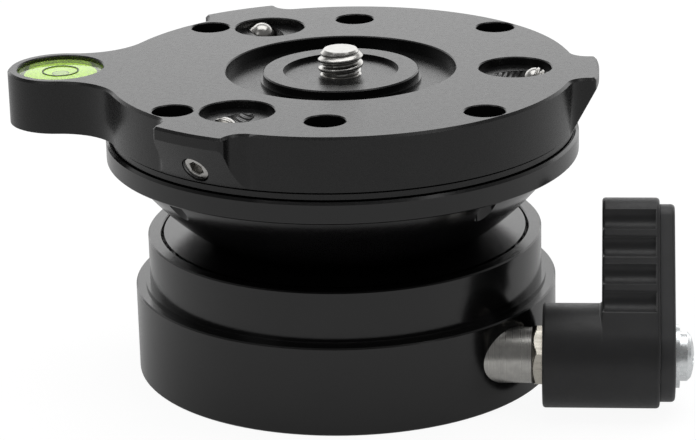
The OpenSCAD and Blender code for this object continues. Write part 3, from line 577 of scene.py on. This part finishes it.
def thread_rings(
    radius, depth, pitch, low, high, limit, around=AROUND, crest=THREAD_CREST, root=THREAD_ROOT
):
    """Rings of a right-hand thread about local Z, never wider than limit(height)."""
    count = math.ceil((high - low) / pitch * THREAD_STEPS)
    rings = []
    for i in range(count + 1):
        height = low + (high - low) * i / count
        ring = []
        for k in range(around):
            phase = (height / pitch - k / around) % 1
            r = min(radius - depth * thread_groove(phase, crest, root), limit(height))
            t = 2 * math.pi * k / around
            ring.append((r * math.cos(t), r * math.sin(t), height))
        rings.append(ring)
    return rings


def camera_stud():
    """Camera stud: plain root, relief above the hub, a quarter inch thread and a chamfered end."""
    low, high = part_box("camera_stud")
    foot, top = low.z / MM, high.z / MM
    start, end = DISH_FLOOR + STUD_RELIEF, top - STUD_CHAMFER

    def widest(z):
        run_in = STUD_ROOT_R + STUD_RUN_IN * (z - start)
        taper = STUD_END_R + STUD_CHAMFER + STUD_TAPER * (end - z)
        return min(run_in, taper)

    rings = [circle(STUD_SHANK_R, foot), circle(STUD_SHANK_R, DISH_FLOOR - STUD_STEP)]
    rings += [circle(STUD_ROOT_R, DISH_FLOOR), circle(STUD_ROOT_R, start)]
    rings += thread_rings(
        STUD_R, STUD_R - STUD_ROOT_R, STUD_PITCH, start + STUD_STEP, end, widest,
        crest=STUD_CREST, root=STUD_ROOT,
    )
    rings.append(circle(STUD_END_R, top))
    bm = bmesh.new()
    add_rings(bm, rings)
    add_piece("stud", bm, "stainless", "head", ["camera_stud"])


def lock_axis(angle):
    """Local Z along a lock screw, inward and up."""
    round_part = Matrix.Rotation(math.radians(angle), 4, "Z")
    slant = Matrix.Rotation(math.radians(LOCK_SLOPE - 90), 4, "Y")
    return round_part @ Matrix.Translation((LOCK_X, 0, LOCK_Z)) @ slant


def lock_screws():
    """Set screws with a hexagon socket, a metric thread and a round tip, each in its tapped thread."""
    tip_centre = LOCK_END - LOCK_R
    edge = LOCK_START + LOCK_EDGE

    def ring(radius, height):
        return circle(radius, height, HEX_AROUND)

    def widest(z):
        return min(LOCK_R - LOCK_EDGE + (z - edge), LOCK_R)

    for side, angle in TABS.items():
        rings = [
            ring(SOCKET_POINT_R, LOCK_START + SOCKET_POINT),
            hexagon(SOCKET_FLATS, LOCK_START + SOCKET_WALL),
            hexagon(SOCKET_FLATS, LOCK_START + SOCKET_EASE),
            hexagon(SOCKET_MOUTH, LOCK_START),
            ring(LOCK_R - LOCK_FACE_IN, LOCK_START),
            ring(LOCK_R - LOCK_EDGE, edge),
        ]
        rings += thread_rings(
            LOCK_R, LOCK_DEPTH, LOCK_PITCH, edge + LOCK_EDGE, tip_centre + LOCK_TIP_THREAD,
            widest, HEX_AROUND,
        )
        for k in range(LOCK_TIP_RINGS):
            a = math.radians(LOCK_TIP_START + LOCK_TIP_TURN * k)
            rings.append(ring(LOCK_R * math.cos(a), tip_centre + LOCK_R * math.sin(a)))
        bm = bmesh.new()
        add_rings(bm, rings)
        replaced = ["lock_screw_" + side]
        add_piece("set_screw_" + side, bm, "stainless", "screw_" + side, replaced, lock_axis(angle))

        tapped = thread_rings(
            LOCK_BORE_R - TAPPED_GAP, TAPPED_DEPTH, LOCK_PITCH, TAPPED_START, TAPPED_END,
            lambda z: LOCK_BORE_R, HEX_AROUND,
        )
        bm = bmesh.new()
        add_rings(bm, [list(reversed(points)) for points in tapped], capped=False)
        add_piece(
            "tapped_thread_" + side, bm, "anodised_plate", "head", (), lock_axis(angle),
            finish="tapped_metal", clip_top=POCKET_FLOOR - POCKET_GAP,
        )


def lever_line():
    """Points round the lever outline with their outward directions, starting on the left of the hub."""
    line = []

    def arc(centre, radius, start, end, step):
        count = round(radius * (end - start) / step)
        for k in range(count):
            t = start + (end - start) * k / count
            away = Vector((math.cos(t), math.sin(t)))
            line.append((centre + radius * away, away))

    def side(start, end, away):
        count = round((end - start).length / SIDE_STEP)
        for k in range(count):
            line.append((start.lerp(end, k / count), away))

    hub, tip = Vector((0, 0)), Vector((0, TIP_H))
    right = Vector((math.cos(LEAN), math.sin(LEAN)))
    left = Vector((-math.cos(LEAN), math.sin(LEAN)))
    arc(hub, HUB_R, math.pi - LEAN, 2 * math.pi + LEAN, HUB_STEP)
    side(hub + HUB_R * right, tip + TIP_R * right, right)
    arc(tip, TIP_R, LEAN, math.pi - LEAN, SIDE_STEP)
    side(tip + TIP_R * left, hub + HUB_R * left, left)
    return line


def cut_depth(point, away, inset, fluted):
    """How far the lever's side lies inside its outline at a point, flutes included."""
    deepest = inset
    for k in range(FLUTES if fluted else 0):
        height = FLUTE_TOP - FLUTE_PITCH * k
        face = (HUB_R - height * math.sin(LEAN)) / math.cos(LEAN)
        for sign in (-1, 1):
            gap = point - Vector((sign * (face + FLUTE_OUT), height))
            along = gap.dot(away)
            inside = along * along - gap.length_squared + (FLUTE_R + inset) ** 2
            if inside > 0 and along - math.sqrt(inside) <= inset:
                deepest = max(deepest, along + math.sqrt(inside))
    return deepest


def lever_ring(line, insets, places, fluted):
    """Ring of points on the lever's side, leaning back with the blade."""
    back, up = math.sin(BLADE_LEAN), math.cos(BLADE_LEAN)
    ring = []
    for (point, away), inset, x in zip(line, insets, places):
        flat = point - away * cut_depth(point, away, inset, fluted)
        ring.append((x, SHAFT_Y + flat.x * up + flat.y * back, SHAFT_Z + flat.y * up - flat.x * back))
    return ring


def rounded_prism(bm, line, low, high, round_low, round_high, base_inset, fluted):
    """Lever outline drawn out along the shaft, with rounded edges whose radius may change along it."""
    rings = []
    for across, along in reversed(rounding()):
        insets = [base_inset + r * across for r in round_low]
        rings.append(lever_ring(line, insets, [low + r * along for r in round_low], fluted))
    # Rings close to the rounded edges keep the faces between them flat; flutes end at a low wall there
    insets = [base_inset] * len(line)
    rings.append(lever_ring(line, insets, [low + r + EDGE_SUPPORT for r in round_low], fluted))
    rings.append(lever_ring(line, insets, [high - r - EDGE_SUPPORT for r in round_high], fluted))
    for across, along in rounding():
        insets = [base_inset + r * across for r in round_high]
        rings.append(lever_ring(line, insets, [high - r * along for r in round_high], False))
    add_rings(bm, rings)


def add_hub(bm, start, blade):
    """Round hub of the lever, from its rounded inner end to the blade."""
    rings = []
    for across, along in reversed(rounding()):
        x = start + INNER_ROUND * along
        outline = circle(HUB_R - INNER_ROUND * across, 0, HUB_AROUND)
        rings.append([(x, SHAFT_Y + u, SHAFT_Z + v) for u, v, h in outline])
    rings.append([(blade, y, z) for x, y, z in rings[-1]])
    add_rings(bm, rings)


def add_fillet(bm, blade):
    """Hollow blend between the top of the lever hub and the inner face of the blade."""
    rows = []
    for k in range(FILLET_ROWS):
        t = math.radians(FILLET_START + FILLET_TURN * k)
        slope = math.cos(abs(math.pi / 2 - t) - math.pi / 2 + LEAN)
        side = HUB_R / max(slope, FILLET_LEAST)
        radius = min(FILLET_R, FILLET_SHARE * max(side - HUB_R, 0))
        row = []
        for j in range(FILLET_STEPS + 1):
            a = math.pi / 2 * j / FILLET_STEPS
            x = blade - radius + radius * math.sin(a)
            r = HUB_R + radius - radius * math.cos(a)
            place = (x, SHAFT_Y + r * math.cos(t - BLADE_LEAN), SHAFT_Z + r * math.sin(t - BLADE_LEAN))
            row.append(bm.verts.new(place))
        rows.append(row)
    for first, second in zip(rows, rows[1:]):
        for j in range(FILLET_STEPS):
            bm.faces.new((first[j], first[j + 1], second[j + 1], second[j]))


def lever():
    """Lever moulding with its fluted blade, and the plain cover on its outer face."""
    low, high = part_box("lever_knob")
    start, end = low.x / MM, high.x / MM
    blade = end - BLADE_W
    line = lever_line()
    count = len(line)
    # The inner edge of the blade is rounded only where the blade stands above the hub
    rise = [min(max((point.length - HUB_R) / ROUND_FADE, 0), 1) for point, away in line]
    inner = [INNER_ROUND * r for r in rise]
    bm = bmesh.new()
    rounded_prism(bm, line, blade, end, inner, [OUTER_ROUND] * count, 0, True)
    add_hub(bm, start, blade)
    add_fillet(bm, blade)
    add_piece("lever_moulding", bm, "lever_plastic", "lever", ["lever_knob"], sharp=LEVER_SHARP)

    low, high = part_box("lever_cover")
    start, end = low.x / MM, high.x / MM
    bm = bmesh.new()
    rounded_prism(bm, line, start, end, [LID_LOW_ROUND] * count, [LID_HIGH_ROUND] * count, LID_IN, False)
    add_piece(
        "lever_lid", bm, "lever_plastic", "lever", ["lever_cover"], finish="lid_plastic", sharp=LEVER_SHARP
    )


def lever_shaft():
    """Lever shaft with a chamfered hexagon, a journal, the eccentric and the tail."""
    low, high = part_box("cam_shaft")
    tail, end = low.x / MM, high.x / MM
    along_shaft = Matrix.Rotation(math.pi / 2, 4, "Y") @ Matrix.Rotation(math.pi / 2, 4, "Z")
    placed = Matrix.Translation((0, SHAFT_Y, SHAFT_Z)) @ along_shaft

    def eccentric(radius, height):
        return circle(radius, height, CAM_AROUND, (CAM_OUT, 0))

    rings = [circle(JOURNAL_R, CAM_HALF, HEX_AROUND), circle(JOURNAL_R, HEX_START, HEX_AROUND)]
    rings.append(circle(HEX_FACE_R, HEX_START, HEX_AROUND))
    for k in range(HEX_RINGS):
        reach = HEX_RING_STEP * k
        ring = []
        for u, v, h in hexagon(HEX_FLATS, HEX_START + reach, HEX_TURN):
            shrink = min(1, (HEX_FACE_R + reach * HEX_CHAMFER) / math.hypot(u, v))
            ring.append((u * shrink, v * shrink, h))
        rings.append(ring)
    rings.append(hexagon(HEX_FLATS, HEX_START + HEX_FULL, HEX_TURN))
    rings.append(hexagon(HEX_FLATS, end, HEX_TURN))
    bm = bmesh.new()
    add_rings(bm, rings)
    cam_start = eccentric(CAM_R - CAM_EASE, -CAM_HALF)
    add_rings(bm, [cam_start, eccentric(CAM_R, CAM_EASE - CAM_HALF), eccentric(CAM_R, CAM_HALF)])
    tail_start = circle(TAIL_R - TAIL_EASE, tail)
    add_rings(bm, [tail_start, circle(TAIL_R, tail + TAIL_EASE), circle(TAIL_R, -CAM_HALF)])
    add_piece("hex_shaft", bm, "nickel", "lever", ["cam_shaft"], placed)


def vial():
    """Vial: a clear body with eased edges, and in it the bubble with a dark ring of painted shade round its
    edge.
    """
    low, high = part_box("vial_cup")
    centre, foot, top = (low + high) / 2 / MM, low.z / MM, high.z / MM
    radius = (high.x - low.x) / 2 / MM
    placed = Matrix.Translation((centre.x, centre.y, 0))
    rings = [circle(radius - VIAL_EASE, foot), circle(radius, foot + VIAL_EASE)]
    for across, along in rounding():
        rings.append(circle(radius - VIAL_ROUND * across, top - VIAL_ROUND * along))
    bm = bmesh.new()
    add_rings(bm, rings)
    add_piece("vial_body", bm, "vial_clear", "head", ["vial_cup"], placed)

    low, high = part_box("vial_bubble")
    top, radius = high.z / MM, (high.x - low.x) / 2 / MM
    rings = []
    for k in range(BUBBLE_STEPS + 1):
        a = math.pi / 2 * k / BUBBLE_STEPS
        rings.append(circle(max(radius * math.sin(a), BUBBLE_LEAST_R), top - BUBBLE_DEPTH * math.cos(a)))
    rings.append(circle(radius * BUBBLE_TOP, top))
    rings.append(circle(radius * BUBBLE_CROWN, top + BUBBLE_CROWN_H))
    bm = bmesh.new()
    add_rings(bm, rings)
    add_piece("bubble", bm, "vial_air", "head", ["vial_bubble"], placed)

    # A dark ring round the bubble's top is painted shade, standing in for the shade at the bubble's edge
    turns = [2 * math.pi * k / BUBBLE_SHADE_STEPS for k in range(BUBBLE_SHADE_STEPS + 1)]
    tube = [circle(radius + BUBBLE_SHADE_R * math.cos(t), top + BUBBLE_SHADE_R * math.sin(t)) for t in turns]
    bm = bmesh.new()
    add_rings(bm, tube, capped=False)
    add_piece("bubble_shade_ring", bm, "vial_line", "head", (), placed)


def white_floor():
    """Floor that the camera sees as white with a faint shadow, and that is greyer in reflections."""
    mesh = bpy.data.meshes.new("floor")
    bm = bmesh.new()
    bmesh.ops.create_grid(bm, x_segments=1, y_segments=1, size=FLOOR_HALF)
    bm.to_mesh(mesh)
    bm.free()
    floor = bpy.data.objects.new("floor", mesh)
    scene.collection.objects.link(floor)
    material = bpy.data.materials.new("floor")
    graph = Graph(material)
    graph.tree.nodes.clear()
    mirror_rays = graph.rays("Is Glossy Ray", "Is Transmission Ray")
    lit, mirrored = graph.glowing(color=0.8, glow=0), graph.glowing(color=0.4, glow=0.33)
    unseen = graph.either(mirror_rays, lit, mirrored)
    seen = graph.either(graph.rays("Is Camera Ray"), unseen, graph.glowing(color=0.14, glow=0.93))
    graph.link(seen, graph.node("OutputMaterial").inputs["Surface"])
    mesh.materials.append(material)


def room():
    """Dim room with a pale wall low behind the object, white to the camera and through the vial."""
    world = bpy.data.worlds.new("room")
    scene.world = world
    graph = Graph(world)
    background = graph.tree.nodes["Background"]
    background.inputs["Color"].default_value = (1, 1, 1, 1)
    split = graph.node("SeparateXYZ")
    graph.link(graph.node("TexCoord").outputs["Generated"], split.inputs[0])
    behind = graph.ranged(split.outputs["Y"], start=0.0, end=0.5, low=0.0, high=0.5)
    near_floor = graph.ranged(split.outputs["Z"], start=0.8, end=0.4, low=0.0, high=1.0)
    dim = graph.math("MULTIPLY_ADD", behind, near_floor, ROOM_LEVEL)
    level = graph.node("Mix")
    graph.link(graph.rays("Is Camera Ray", "Is Transmission Ray"), level.inputs["Factor"])
    graph.link(dim, level.inputs["A"])
    level.inputs["B"].default_value = 1.0
    graph.link(level.outputs["Result"], background.inputs["Strength"])


def softbox(name, place, aim, width, height, radiance):
    """Large soft lamp, in metres; radiance 1 shows as white."""
    data = bpy.data.lights.new(name, "AREA")
    data.shape = "RECTANGLE"
    data.size, data.size_y = width, height
    data.energy = LAMP_POWER * width * height * radiance
    made = bpy.data.objects.new(name, data)
    made.location = place
    made.rotation_euler = (Vector(aim) - Vector(place)).to_track_quat("-Z", "Y").to_euler()
    made.visible_camera = False
    scene.collection.objects.link(made)


def studio():
    """White floor, dim room and three soft lamps."""
    white_floor()
    room()
    softbox("overhead", place=(0, 0.2, 1.0), aim=(0, 0.05, 0), width=1.2, height=0.8, radiance=1.4)
    softbox("backdrop", place=(0, 1.3, 0.45), aim=(0, 0, 0.03), width=2.6, height=0.8, radiance=0.72)
    softbox("front_left", place=(-0.9, -0.9, 0.8), aim=(0, 0, 0.02), width=0.5, height=0.5, radiance=0.6)
    scene.view_settings.view_transform = "Standard"


camera()
paint_nodes()
camera_stud()
lock_screws()
lever()
lever_shaft()
vial()
studio()
